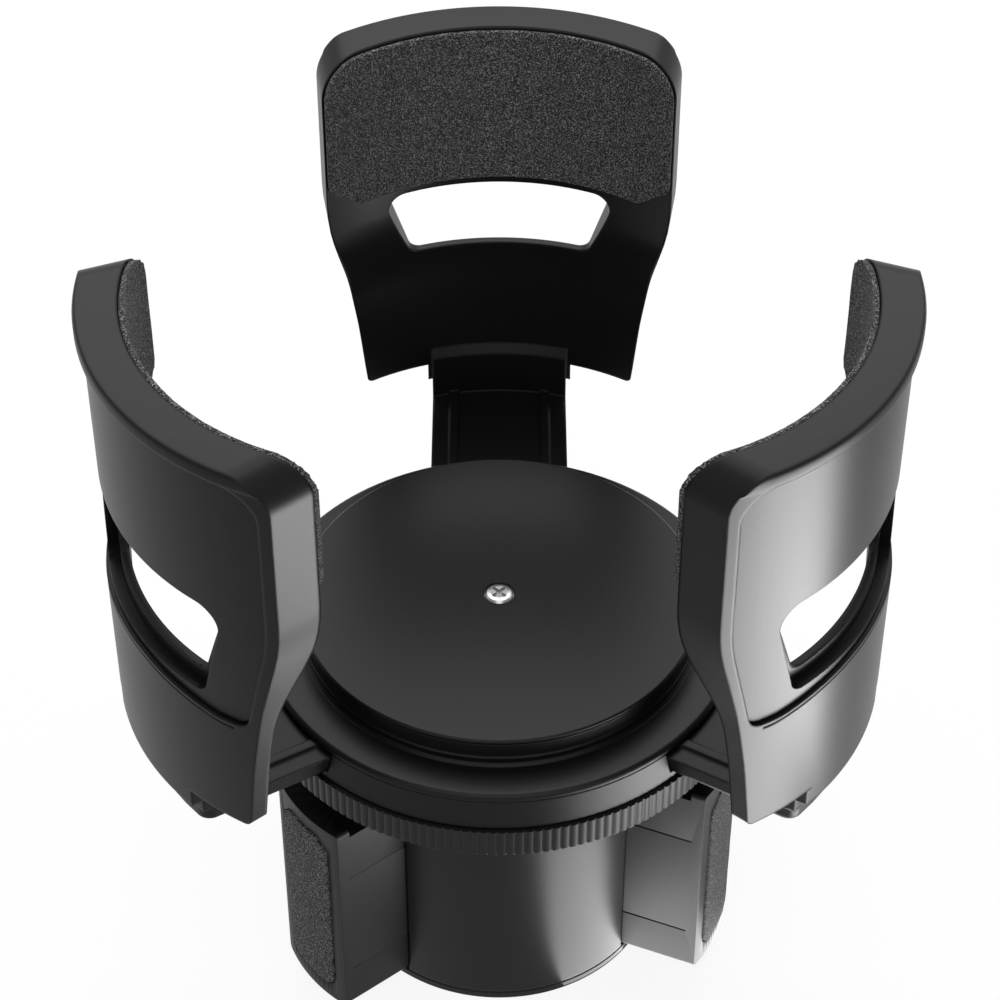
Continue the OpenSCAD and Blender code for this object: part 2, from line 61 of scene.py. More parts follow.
ARC_STEP = math.radians(5)  # the longest step of a rounded corner
ARC_MIN_STEPS = 3
FULL_TURN = 360.0
TURN_STEP = 1.5  # the longest step of a turned solid, in degrees
EDGE_ANGLE = math.radians(35)  # faces that meet at more than this show an edge

Point = tuple[float, float]
Pair = tuple[float, float]  # two sizes that go together
Corner = tuple[float, float, float]  # a place and its rounding

log = logging.getLogger("cup_holder")


class Wire:
    """An output socket that takes part in arithmetic. Each operation adds one Math node."""

    def __init__(self, net: Net, socket: bpy.types.NodeSocket) -> None:
        """Wraps a socket.

        Args:
            net: the node tree that holds the socket.
            socket: the output socket.
        """
        self.net = net
        self.socket = socket

    def _maths(self, operation: str, first: Value, second: Value) -> Wire:
        """Adds a Math node.

        Args:
            operation: the node's operation.
            first: its first value.
            second: its second value.

        Returns:
            The node's result.
        """
        return self.net.node("ShaderNodeMath", {"operation": operation}, {0: first, 1: second})

    def __add__(self, other: Value) -> Wire:
        """Sum of this value and another."""
        return self._maths("ADD", self, other)

    def __radd__(self, other: Value) -> Wire:
        """Sum of a number and this value."""
        return self._maths("ADD", other, self)

    def __sub__(self, other: Value) -> Wire:
        """This value less another."""
        return self._maths("SUBTRACT", self, other)

    def __rsub__(self, other: Value) -> Wire:
        """A number less this value."""
        return self._maths("SUBTRACT", other, self)

    def __mul__(self, other: Value) -> Wire:
        """Product of this value and another."""
        return self._maths("MULTIPLY", self, other)

    def __rmul__(self, other: Value) -> Wire:
        """Product of a number and this value."""
        return self._maths("MULTIPLY", other, self)

    def __or__(self, other: Value) -> Wire:
        """The larger of this value and another."""
        return self._maths("MAXIMUM", self, other)

    def __ror__(self, other: Value) -> Wire:
        """The larger of a number and this value."""
        return self._maths("MAXIMUM", other, self)


Value = Wire | float | int | tuple


class Net:
    """The node tree of one material or of the world, built by node()."""

    def __init__(self, tree: bpy.types.NodeTree) -> None:
        """Empties a node tree.

        Args:
            tree: the tree of a material or a world.
        """
        self.tree = tree
        tree.nodes.clear()

    def node(
        self,
        kind: str,
        settings: dict[str, object] | None = None,
        sockets: dict[str | int, Value] | None = None,
        out: str | int = 0,
    ) -> Wire:
        """Adds one node.

        Args:
            kind: the node's type.
            settings: the node's own settings; "stops" holds a ramp's positions and greys.
            sockets: values or links of its input sockets, by name or place.
            out: the output that is handed back.

        Returns:
            The chosen output.
        """
        made = self.tree.nodes.new(kind)
        for key, value in (settings or {}).items():
            if key == "stops":
                self._set_stops(made.color_ramp, value)
            else:
                setattr(made, key, value)
        for key, value in (sockets or {}).items():
            if isinstance(value, Wire):
                self.tree.links.new(value.socket, made.inputs[key])
            else:
                made.inputs[key].default_value = value
        return Wire(self, made.outputs[out]) if made.outputs else Wire(self, None)

    def speckle(self, cell: float, detail: float, roughness: float = 0.5) -> Wire:
        """Adds noise that is fixed to the object.

        Args:
            cell: the size of its cells.
            detail: how many finer layers it has.
            roughness: how strong those are.

        Returns:
            The noise, from 0 to 1.
        """
        place = self.node("ShaderNodeTexCoord", out="Object")
        sockets = {"Vector": place, "Scale": 0.5 / cell, "Detail": detail, "Roughness": roughness}
        return self.node("ShaderNodeTexNoise", {}, sockets)

    def softened(self, radius: float) -> Wire:
        """The normal of a surface whose edges are rounded."""
        return self.node("ShaderNodeBevel", {"samples": BEVEL_SAMPLES}, {"Radius": radius})

    def seen(self) -> Wire:
        """Tells sight from light.

        Returns:
            1 to the camera, in reflections and through glass, and 0 where the surface gives light.
        """
        path = "ShaderNodeLightPath"
        return (
            self.node(path, out="Is Camera Ray")
            | self.node(path, out="Is Glossy Ray")
            | self.node(path, out="Is Transmission Ray")
        )

    def surface(self, sockets: dict[str | int, Value]) -> None:
        """Ends a material in a principled shader.

        Args:
            sockets: values or links of the shader's sockets.
        """
        shader = self.node("ShaderNodeBsdfPrincipled", {}, sockets)
        self.node("ShaderNodeOutputMaterial", {}, {"Surface": shader})

    @staticmethod
    def _set_stops(ramp: bpy.types.ColorRamp, stops: tuple[Point, ...]) -> None:
        """Sets a ramp's stops.

        Args:
            ramp: the ramp.
            stops: pairs of position and grey.
        """
        while len(ramp.elements) < len(stops):
            ramp.elements.new(1.0)
        for element, (place, shade) in zip(ramp.elements, stops):
            element.position = place
            element.color = grey(shade)


def grey(shade: float) -> tuple[float, float, float, float]:
    """A neutral colour of that linear shade."""
    return (shade, shade, shade, 1.0)


def new_material(name: str) -> tuple[bpy.types.Material, Net]:
    """Makes an empty node material.

    Args:
        name: the material's name.

    Returns:
        The material and its node tree.
    """
    material = bpy.data.materials.new(name)
    material.use_nodes = True
    return material, Net(material.node_tree)


def corner_arc(before: Vector, corner: Vector, after: Vector, radius: float) -> list[Point]:
    """Rounds one corner of an outline.

    Args:
        before: the corner before it.
        corner: the corner itself.
        after: the corner after it.
        radius: the rounding.

    Returns:
        The points of the arc.
    """
    back, on = (before - corner).normalized(), (after - corner).normalized()
    half = back.angle(on) / 2
    middle = corner + (back + on).normalized() * (radius / math.sin(half))
    start = corner + back * (radius / math.tan(half)) - middle
    end = corner + on * (radius / math.tan(half)) - middle
    first = math.atan2(start.y, start.x)
    swing = math.remainder(math.atan2(end.y, end.x) - first, math.tau)
    steps = max(ARC_MIN_STEPS, math.ceil(abs(swing) / ARC_STEP))
    angles = [first + swing * step / steps for step in range(steps + 1)]
    return [(middle.x + radius * math.cos(a), middle.y + radius * math.sin(a)) for a in angles]


def rounded(corners: list[Corner]) -> list[Point]:
    """Makes an outline.

    Args:
        corners: the outline's corners, each with its rounding.

    Returns:
        The outline's points.
    """
    places = [Vector(corner[:2]) for corner in corners]
    points: list[Point] = []
    for index, (place, corner) in enumerate(zip(places, corners)):
        if corner[2]:
            after = places[(index + 1) % len(places)]
            points += corner_arc(places[index - 1], place, after, corner[2])
        else:
            points.append(tuple(place))
    return points


def both_sides(half: list[Corner]) -> list[Corner]:
    """An outline's right half, from its lower to its upper end, with its mirror image."""
    return half + [(-x, z, radius) for x, z, radius in reversed(half) if x > 0]


def oblong(near: float, far: float, low: float, high: float) -> list[Point]:
    """A rectangular outline or section."""
    return [(near, low), (far, low), (far, high), (near, high)]


def edit(mesh: bpy.types.Mesh, change: Callable[[bmesh.types.BMesh], object]) -> None:
    """Changes a mesh in place.

    Args:
        mesh: the mesh.
        change: what is done to it.
    """
    work = bmesh.new()
    work.from_mesh(mesh)
    change(work)
    work.to_mesh(mesh)
    work.free()


class Solid:
    """A closed mesh in millimetres. The signs &, - and | keep, cut and join."""

    def __init__(self, mesh: bpy.types.Mesh) -> None:
        """Wraps a mesh.

        Args:
            mesh: the closed mesh.
        """
        self.mesh = mesh

    @classmethod
    def skinned(cls, rings: list[list[tuple]], closed: bool = False) -> Solid:
        """Joins like outlines to a solid.

        Args:
            rings: the outlines in order, all with the same number of points.
            closed: whether the last outline meets the first.

        Returns:
            The solid.
        """
        size, count = len(rings[0]), len(rings)
        faces = []
        for ring in range(count if closed else count - 1):
            low, high = ring * size, (ring + 1) % count * size
            for index in range(size):
                after = (index + 1) % size
                faces.append((low + index, low + after, high + after, high + index))
        if not closed:
            faces += [tuple(reversed(range(size))), tuple(range((count - 1) * size, count * size))]
        mesh = bpy.data.meshes.new("solid")
        mesh.from_pydata([point for ring in rings for point in ring], [], faces)
        edit(mesh, lambda work: bmesh.ops.recalc_face_normals(work, faces=work.faces))
        return cls(mesh)

    @classmethod
    def turned(cls, section: list[Point], around: float = 0.0, sweep: float = FULL_TURN) -> Solid:
        """Turns a section about an upright axis.

        Args:
            section: radii and heights.
            around: the axis's distance from the holder's own axis, towards +Y.
            sweep: the angle swept, in degrees, centred on +Y.

        Returns:
            The solid.
        """
        closed = sweep >= FULL_TURN
        steps = math.ceil(sweep / TURN_STEP)
        places = range(steps if closed else steps + 1)
        angles = [math.radians(sweep * (place / steps - 0.5)) for place in places]
        rings = [[(r * math.sin(a), around + r * math.cos(a), z) for r, z in section] for a in angles]
        return cls.skinned(rings, closed)

    @classmethod
    def block(cls, outline: list[Point], near: float = 0.0, far: float = REACH) -> Solid:
        """A solid whose outline is drawn in X and Z.

        Args:
            outline: its points.
            near: where it starts along Y.
            far: where it ends along Y.

        Returns:
            The solid.
        """
        return cls.skinned([[(x, y, z) for x, z in outline] for y in (near, far)])

    @classmethod
    def plate(cls, plan: list[Point], low: float, high: float) -> Solid:
        """A solid whose outline is drawn in X and Y.

        Args:
            plan: its points.
            low: its underside.
            high: its top.

        Returns:
            The solid.
        """
        return cls.skinned([[(x, y, z) for x, y in plan] for z in (low, high)])

    @classmethod
    def of_node(cls, node: str) -> Solid:
        """A copy of a CAD node, in millimetres.

        Args:
            node: the node's name.

        Returns:
            The solid.
        """
        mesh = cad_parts[node].data.copy()
        mesh.transform(Matrix.Scale(1 / MM, 4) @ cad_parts[node].matrix_world)
        return cls(mesh)

    def moved(self, matrix: Matrix) -> Solid:
        """A moved copy.

        Args:
            matrix: the move.

        Returns:
            The copy.
        """
        mesh = self.mesh.copy()
        mesh.transform(matrix)
        if matrix.determinant() < 0:
            mesh.flip_normals()
        return Solid(mesh)

    def _combined(self, other: Solid, operation: str) -> Solid:
        """Works out a set operation.

        Args:
            other: the other solid.
            operation: the operation's name in the boolean modifier.

        Returns:
            The new solid.
        """
        pair = [bpy.data.objects.new("solid", solid.mesh) for solid in (self, other)]
        for thing in pair:
            bpy.context.scene.collection.objects.link(thing)
        change = pair[0].modifiers.new("change", "BOOLEAN")
        change.solver, change.operation, change.object = "EXACT", operation, pair[1]
        evaluated = pair[0].evaluated_get(bpy.context.evaluated_depsgraph_get())
        mesh = bpy.data.meshes.new_from_object(evaluated)
        for thing in pair:
            bpy.data.objects.remove(thing)
        edit(mesh, lambda work: bmesh.ops.remove_doubles(work, verts=work.verts, dist=WELD))
        return Solid(mesh)

    def __and__(self, other: Solid) -> Solid:
        """What this solid and another share."""
        return self._combined(other, "INTERSECT")

    def __sub__(self, other: Solid) -> Solid:
        """This solid with another cut away."""
        return self._combined(other, "DIFFERENCE")

    def __or__(self, other: Solid) -> Solid:
        """This solid and another in one."""
        return self._combined(other, "UNION")

    def piece(self, node: str, material: bpy.types.Material, azimuth: float = 0.0) -> bpy.types.Object:
        """Makes the solid the piece that is seen in a CAD node's place.

        Args:
            node: the CAD node.
            material: the finish.
            azimuth: the turn about the holder's axis, in degrees.

        Returns:
            The piece, in metres.
        """
        mesh = self.mesh.copy()
        mesh.transform(Matrix.Rotation(math.radians(azimuth), 4, "Z") @ Matrix.Scale(MM, 4))
        mesh.materials.clear()
        mesh.materials.append(material)
        for face in mesh.polygons:
            face.use_smooth = True
            face.material_index = 0
        mesh.set_sharp_from_angle(angle=EDGE_ANGLE)
        piece = bpy.data.objects.new(node + "_form", mesh)
        bpy.context.scene.collection.objects.link(piece)
        even = piece.modifiers.new("even_normals", "WEIGHTED_NORMAL")
        even.keep_sharp = True
        log.info("%s: formed piece of %d faces", node, len(mesh.polygons))
        return piece


def mount(piece: bpy.types.Object, node: str, body: str) -> None:
    """Puts a piece in a CAD node's place.

    Args:
        piece: the piece.
        node: the node that it stands for.
        body: the body that it rides on.
    """
    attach(piece, body)
    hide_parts(node)


@dataclass(frozen=True)
class SatinPlastic:
    """Black moulded plastic with a fine eroded grain and softened edges."""

    name: str
    colour: tuple[float, float, float, float] = (0.0065, 0.0066, 0.0070, 1.0)
    roughness: float = 0.35
    roughness_drift: float = 0.05
    gloss: float = 0.14
    grain_size: float = 0.32 * MM
    grain_depth: float = 0.008 * MM
    patch: float = 20 * MM
    edge_round: float = 0.8 * MM

    def material(self) -> bpy.types.Material:
        """The finish as a material.

        Returns:
            A node material that varies its roughness and grain over the surface.
        """
        material, net = new_material(self.name)
        drift = net.speckle(self.patch, 2.0)
        relief = {
            "Strength": 1.0,
            "Distance": self.grain_depth,
            "Height": net.speckle(self.grain_size, 3.0, 0.6),
            "Normal": net.softened(self.edge_round),
        }
        net.surface(
            {
                "Base Color": self.colour,
                "Roughness": (drift - 0.5) * self.roughness_drift + self.roughness,
                "Specular IOR Level": self.gloss,
                "Normal": net.node("ShaderNodeBump", {}, relief),
            }
        )
        return material


@dataclass(frozen=True)
class SpeckledFoam:
    """Black closed-cell pad with painted glints: fine pale spots in its colour where cut cells would catch
    the light.
    """

    name: str
    dark: float = 0.005
    # pale: the grey of the painted glints on the cut cells
    pale: float = 0.36
    roughness: float = 0.85
    gloss: float = 0.25
    cell: float = 0.15 * MM
    cell_depth: float = 0.11 * MM
    depth_share: float = 0.9
    stops: tuple[Point, ...] = ((0.5, 0.0), (0.66, 1.0))

    def material(self) -> bpy.types.Material:
        """The finish as a material.

        Returns:
            A node material with the cells' painted glints in its colour and the cells in its relief.
        """
        material, net = new_material(self.name)
        cells = net.speckle(self.cell, 4.0, 0.7)
        # Painted glints: pale spots in the base colour where the cut cells would catch the light
        glint_specks = net.node("ShaderNodeValToRGB", {"stops": self.stops}, {0: cells})
        shades = {0: glint_specks, 6: grey(self.dark), 7: grey(self.pale)}
        relief = {"Strength": self.depth_share, "Distance": self.cell_depth, "Height": cells}
        net.surface(
            {
                "Base Color": net.node("ShaderNodeMix", {"data_type": "RGBA"}, shades, out=2),
                "Roughness": self.roughness,
                "Specular IOR Level": self.gloss,
                "Normal": net.node("ShaderNodeBump", {}, relief),
            }
        )
        return material


@dataclass(frozen=True)
class BrightSteel:
    """Plated steel of screws and pins, with fine turning marks."""

    name: str
    shade: float = 0.4
    roughness: float = 0.24
    roughness_drift: float = 0.12
    mark: float = 0.15 * MM
    mark_depth: float = 0.006 * MM
    depth_share: float = 0.8
    edge_round: float = 0.12 * MM

    def material(self) -> bpy.types.Material:
        """The finish as a material.

        Returns:
            A metal node material with fine marks.
        """
        material, net = new_material(self.name)
        marks = net.speckle(self.mark, 2.0)
        relief = {
            "Strength": self.depth_share,
            "Distance": self.mark_depth,
            "Height": marks,
            "Normal": net.softened(self.edge_round),
        }
        net.surface(
            {
                "Base Color": grey(self.shade),
                "Metallic": 1.0,
                "Roughness": marks * self.roughness_drift + self.roughness,
                "Normal": net.node("ShaderNodeBump", {}, relief),
            }
        )
        return material


class Side(Enum):
    """The three directions that the arms and the legs point in."""

    BACK = "back"
    LEFT = "left"
    RIGHT = "right"

    @property
    def azimuth(self) -> float:
        """The turn about the holder's axis from the back, in degrees."""
        return {Side.BACK: 0.0, Side.LEFT: 120.0, Side.RIGHT: 240.0}[self]


class Finishes:
    """The holder's materials, each made once."""

    def __init__(self) -> None:
        """Makes the materials."""
        self.shell = SatinPlastic("shell_plastic", edge_round=0.4 * MM).material()
        self.ring = SatinPlastic("ring_plastic", roughness=0.36, edge_round=0.12 * MM).material()
        self.arm = SatinPlastic("arm_plastic", gloss=0.115).material()
        self.cover = SatinPlastic("cover_plastic", gloss=0.115, edge_round=0.3 * MM).material()
        leg = SatinPlastic("leg_plastic", roughness=0.48, gloss=0.18, edge_round=0.25 * MM)
        self.leg = leg.material()
        self.foam = SpeckledFoam("pad_foam").material()
        self.steel = BrightSteel("bright_steel").material()


def dress(node: str, material: bpy.types.Material) -> None:
    """Gives a CAD node its finish.

    Args:
        node: the node's name.
        material: the finish.
    """
    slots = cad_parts[node].data.materials
    slots.clear()
    slots.append(material)
    log.info("%s: %s", node, material.name)


@dataclass(frozen=True)
class ArmForm:
    """Sizes of an arm in millimetres and degrees, and the solids that they give. It points along +Y.

    Its wall is curved about an upright line of its own. Radii are measured from that line, half widths
    from the arm's middle, and a share of the height runs from the wall's low edge to its top.
    """

    # The wall: its line's distance from the holder's axis, and how far round that line it is made
    shift: float = 22.8
    sweep: float = 110.0
    low: float = 88.5
    top: float = 180.0
    outer: float = 57.4
    inner: float = 49.6
    foot_inner: float = 54.0
    # Where it thickens from the foot's inner radius to the inner one, as shares of the height
    thick_from: float = 0.27
    thick_span: float = 0.26
    thick_steps: int = 16
    # The rim, from its lower end: how far outside the wall, and how far below the top
    rim: tuple[Point, ...] = ((0.0, 3.4), (0.5, 2.8), (0.5, 0.9), (0.2, 0.3), (-0.4, 0.0))
    bevel: float = 0.3

    # The sides: half widths at the foot and from the shoulder up, and how far they lean in
    low_half: float = 29.8
    half: float = 37.2
    corner: float = 8.0
    lean: float = 9.2
    # Where the sides bend below the shoulder: shares of the height and of the widening, and rounding
    bends: tuple[Corner, ...] = ((0.0, 0.0, 1.5), (0.175, 0.19, 200.0), (0.344, 0.46, 120.0))
    shoulder: float = 0.567
    shoulder_round: float = 50.0

    # The window: shares of the height, then half widths and roundings at its lower and upper end
    window_low: float = 0.372
    window_top: float = 0.574
    window_half: Pair = (19.0, 24.5)
    window_corner: Pair = (3.0, 3.5)

    cover_outer: float = 56.6
    cover_inner: float = 54.3
    cover_margin: float = 2.1
    cover_gap: float = 0.35
    cover_top: float = 0.961
    cover_corner: float = 6.5
    # How far the cover stays back from the window: beside and above it, and below it
    cover_frame: Pair = (2.4, 2.9)
    # The arch below the cover: how far its middle is below the window, as a share, and its rounding,
    # then its corners as shares of the low half width and below the window, each with its rounding
    arch: Pair = (0.037, 120.0)
    arch_ends: tuple[Corner, ...] = ((0.83, 0.072, 12.0), (1.03, 0.068, 3.0))
    # The fine line below the arch: where it starts and ends below the cover, its width as a share of
    # the low half width, and its depth
    line: Pair = (0.8, 1.2)
    line_width: float = 0.95
    line_depth: float = 0.3

    # The lip and the riser: heights below and above the wall's low edge, depths inside the wall's
    # outer face, and how far the riser sinks into the tongue
    lip_drop: float = 4.3
    lip_rise: float = 3.0
    lip_margin: float = 1.0
    riser_outer: float = 2.8
    riser_inner: float = 5.0
    riser_top: float = 5.0
    riser_slope: float = 2.5
    riser_sink: float = 0.5
    tongue_half: float = 15.0
    tongue_low: float = 76.9
    tongue_top: float = 80.3
    tongue_start: float = 35.0
    tongue_corner: float = 3.0
    rail: float = 0.7
    rail_half: float = 1.0
    rail_place: float = 0.68
    pin_at: float = 38.0
    pin: float = 1.5
    pin_hole: Pair = (70.0, 85.0)

    # The pad: its thickness, how far it stays from the housing's edge and from the window, how its
    # lower corners are cut off, and the roundings of a cut's two ends
    pad: float = 1.4
    pad_margin: float = 0.4
    pad_gap: float = 2.0
    pad_cut: float = 7.0
    pad_rounds: Pair = (3.0, 4.0)

    def height(self, share: float) -> float:
        """The height at a share of the wall."""
        return self.low + share * (self.top - self.low)

    def half_width(self, share: float) -> float:
        """Half the width at a share of the widening."""
        return self.low_half + share * (self.half - self.low_half)

    def leaned(self, half: float) -> float:
        """A half width on the outer face, turned about the wall's own line by the lean."""
        return self.outer * math.sin(math.asin(half / self.outer) - math.radians(self.lean))

    def ring(self, section: list[Point]) -> Solid:
        """A section turned about the wall's own line, over more than the arm's width."""
        return Solid.turned(section, self.shift, self.sweep)

    def across(self, half: float) -> Solid:
        """A block of that half width."""
        return Solid.block(oblong(-half, half, 0.0, REACH))

    def leaning(self, edge: list[Corner]) -> Solid:
        """A block across the arm whose two sides lean in.

        Args:
            edge: its right edge, from its lower to its upper end.

        Returns:
            The block.
        """
        outline = rounded([(-REACH, edge[0][1], 0.0), *edge, (-REACH, edge[-1][1], 0.0)])
        turn = Matrix.Rotation(math.radians(-self.lean), 4, "Z")
        one = Solid.block(outline).moved(Matrix.Translation((0, self.shift, 0)) @ turn)
        return one & one.moved(Matrix.Scale(-1, 4, (1, 0, 0)))

    def cover_outline(self, inset: float) -> list[Point]:
        """The cover's outline, which ends above the foot in a shallow arch.

        Args:
            inset: how far it is drawn in.

        Returns:
            Its points.
        """
        drop, radius = self.arch
        half = [(0.0, self.height(self.window_low - drop) + inset, radius)]
        for share, drop, radius in self.arch_ends:
            z = self.height(self.window_low - drop) + inset
            half.append((self.low_half * share - inset, z, radius))
        side = self.half - self.cover_margin - inset
        half.append((side, self.height(self.shoulder), self.shoulder_round))
        half.append((side, self.height(self.cover_top) - inset, self.cover_corner - inset))
        return rounded(both_sides(half))

    def window(self, grow: float, grow_low: float) -> Solid:
        """The window as a block.

        Args:
            grow: how much wider and higher it is.
            grow_low: how much further down it reaches.

        Returns:
            The block.
        """
        low, high = self.height(self.window_low) - grow_low, self.height(self.window_top) + grow
        low_half, high_half = self.window_half
        low_corner, high_corner = self.window_corner
        half = [(low_half + grow, low, low_corner), (high_half + grow, high, high_corner + grow / 2)]
        return Solid.block(rounded(both_sides(half)))

    def wall(self) -> Solid:
        """The housing's wall, deep above and thin near its foot.

        Returns:
            The wall, with its rim and its leaning sides.
        """
        inside = []
        for step in range(self.thick_steps, -1, -1):
            share = step / self.thick_steps
            blend = (1 - math.cos(math.pi * share)) / 2
            radius = self.foot_inner + (self.inner - self.foot_inner) * blend
            inside.append((radius, self.height(self.thick_from + self.thick_span * share)))
        section = [(self.outer, self.tongue_low)]
        section += [(self.outer + out, self.top - drop) for out, drop in self.rim]
        section += [(self.inner + self.bevel, self.top), (self.inner, self.top - self.bevel)]
        section += [*inside, (self.foot_inner, self.tongue_low)]
        bends = [*self.bends, (self.shoulder, 1.0, self.shoulder_round)]
        edge = [(self.leaned(self.half_width(wide)), self.height(high), r) for high, wide, r in bends]
        edge.append((self.leaned(self.half), self.top, self.corner))
        return self.ring(section) & self.leaning(edge)

    def lip(self) -> Solid:
        """The lip that hangs below the wall."""
        section = oblong(self.foot_inner, self.outer, self.low - self.lip_drop, self.low + self.lip_rise)
        return self.ring(section) & self.across(self.tongue_half + self.lip_margin)

    def riser(self) -> Solid:
        """The narrow wall that joins the lip to the tongue.

        Returns:
            The riser, which thins towards its top.
        """
        out, back = self.outer - self.riser_outer, self.outer - self.riser_inner
        foot, high = self.tongue_top - self.riser_sink, self.low + self.riser_top
        section = [(back, foot), (out, foot), (out, high), (self.foot_inner + self.bevel, high)]
        section.append((back, self.low + self.riser_slope))
        return self.ring(section) & self.across(self.tongue_half)

    def tongue(self) -> Solid:
        """The flat tongue that slides in the head, rounded at its tip.

        Returns:
            The tongue without its rails.
        """
        wide, corner = self.tongue_half, self.tongue_corner
        radius = self.outer - self.riser_outer - self.bevel
        angle = math.asin((wide - corner) / (radius - corner))
        tip = self.shift + radius / math.cos(angle)
        side = tip - wide * math.tan(angle)
        half = [(wide, self.tongue_start, 0.0), (wide, side, corner)]
        middle = (0.0, tip, self.outer - self.riser_outer - 2 * self.bevel)
        plan = rounded([*half, middle, *[(-x, y, r) for x, y, r in reversed(half)]])
        return Solid.plate(plan, self.tongue_low, self.tongue_top)

    def rails(self) -> list[Solid]:
        """The two rails along the tongue.

        Returns:
            The left one and the right one.
        """
        low, high = self.tongue_top - HAIR, self.tongue_top + self.rail
        back = self.shift + self.outer - self.riser_inner
        middles = [sign * self.rail_place * self.tongue_half for sign in (-1, 1)]
        outlines = [oblong(x - self.rail_half, x + self.rail_half, low, high) for x in middles]
        return [Solid.block(outline, self.tongue_start, back) for outline in outlines]

    def housing(self) -> Solid:
        """The arm's moulding, with the cover's seat, the window and the pin's hole.

        Returns:
            The wall with its foot and tongue.
        """
        foot = self.lip() | self.riser() | self.tongue()
        for rail in self.rails():
            foot = foot | rail
        seat = self.ring(oblong(self.cover_inner, REACH, 0.0, REACH))
        skin = self.ring(oblong(self.outer - self.line_depth, REACH, 0.0, self.height(self.window_low)))
        start, stop = (self.cover_outline(-inset) for inset in self.line)
        line = skin & (Solid.block(stop) - Solid.block(start, -CLEAR, REACH + CLEAR))
        hole = Solid.turned(oblong(HAIR, self.pin, *self.pin_hole))
        housing = self.wall() | foot
        housing = housing - (seat & Solid.block(self.cover_outline(0.0)))
        housing = housing - (line & self.across(self.low_half * self.line_width))
        return housing - self.window(0.0, 0.0) - hole.moved(Matrix.Translation((0, self.pin_at, 0)))

    def cover(self) -> Solid:
        """The outer cover that is let into the housing."""
        skin = self.ring(oblong(self.cover_inner, self.cover_outer, 0.0, REACH))
        return (skin & Solid.block(self.cover_outline(self.cover_gap))) - self.window(*self.cover_frame)

    def foam(self) -> Solid:
        """The pad on the inner face, almost as wide as the housing.

        Returns:
            The pad, cut across its two lower corners.
        """
        side, low = self.leaned(self.half) - self.pad_margin, self.height(self.window_top) + self.pad_gap
        first, second = self.pad_rounds
        edge = [(side - self.pad_cut, low, first), (side, low + self.pad_cut, second)]
        edge.append((side, self.top - self.pad_margin, self.corner - self.pad_margin))
        return self.ring(oblong(self.inner - self.pad, self.inner, 0.0, REACH)) & self.leaning(edge)


@dataclass
class FoamPad:
    """A die-cut foam pad with worn-soft edges and an uneven face. Its own sizes are in metres."""

    node: str
    body: str
    form: Solid
    azimuth: float = 0.0
    voxel: float = 0.36 * MM
    smoothing: int = 4
    unevenness: float = 0.05 * MM
    wave: float = 5 * MM

    def build(self, material: bpy.types.Material) -> None:
        """Makes the pad and puts it on its body.

        Args:
            material: the foam.
        """
        pad = self.form.piece(self.node, material, self.azimuth)
        self._soften(pad)
        for face in pad.data.polygons:
            face.use_smooth = True
        mount(pad, self.node, self.body)
        log.info("%s: foam pad of %d faces on %s", pad.name, len(pad.data.polygons), self.body)

    def _soften(self, pad: bpy.types.Object) -> None:
        """Rounds the pad's edges and makes its faces slightly uneven.

        Args:
            pad: the pad's object.
        """
        pad.modifiers.clear()
        remesh = pad.modifiers.new("cells", "REMESH")
        remesh.mode = "VOXEL"
        remesh.voxel_size = self.voxel
        smooth = pad.modifiers.new("soft_edges", "SMOOTH")
        smooth.iterations = self.smoothing
        evaluated = pad.evaluated_get(bpy.context.evaluated_depsgraph_get())
        mesh = bpy.data.meshes.new_from_object(evaluated)
        pad.modifiers.clear()
        pad.data = mesh
        outward = [vertex.normal.copy() for vertex in mesh.vertices]
        for vertex, normal in zip(mesh.vertices, outward):
            swell = noise.noise(vertex.co / self.wave) * self.unevenness
            vertex.co += normal * (swell - self.unevenness)


@dataclass
class Base:
    """The base tube with its bottom cap and the screws that close it."""

    moulded: tuple[str, ...] = ("base_tube", "bottom_cap")
    steel: tuple[str, ...] = ("cap_screws", "centre_screw", "centre_washer")

    def build(self, finishes: Finishes) -> None:
        """Dresses the base.

        Args:
            finishes: the holder's materials.
        """
        for node in self.moulded:
            dress(node, finishes.shell)
        for node in self.steel:
            dress(node, finishes.steel)


@dataclass
class Head:
    """The round head that turns on the base and carries the cup. Sizes are in millimetres."""

    moulded: tuple[str, ...] = ("lower_shell", "upper_shell", "ring_keeper", "leg_cam")
    steel: tuple[str, ...] = ("cam_screws", "shell_screws")
    plate_low: float = 88.6
    plate_top: float = 90.0
    plate_radius: float = 41.0
    plate_bead: float = 0.35
    plate_bead_low: float = 0.7
    plate_foot: float = 0.5
    plate_bevel: float = 0.3
    screw_hole: float = 3.1
    washer_room: Pair = (5.0, 89.2)  # radius, and the height of its roof

    def build(self, finishes: Finishes) -> None:
        """Dresses the head.

        Args:
            finishes: the holder's materials.
        """
        for node in self.moulded:
            dress(node, finishes.shell)
        for node in self.steel:
            dress(node, finishes.steel)
        plate = Solid.turned(self._plate_section()).piece("floor_plate", finishes.shell)
        mount(plate, "floor_plate", "head")

    def _plate_section(self) -> list[Point]:
        """The cup floor's section: a small hole for the screw's head over room for its washer.

        Returns:
            Radii and heights.
        """
        low, top, bevel = self.plate_low, self.plate_top, self.plate_bevel
        edge, bead = self.plate_radius, self.plate_bead
        room, roof = self.washer_room
        outside = [(room, low), (edge - self.plate_foot, low), (edge, low + bevel)]
        outside += [(edge + bead, low + self.plate_bead_low), (edge + bead, top - bead), (edge, top)]
        hole = [(self.screw_hole + bevel, top), (self.screw_hole, top - bevel), (self.screw_hole, roof)]
        return [*outside, *hole, (room, roof)]


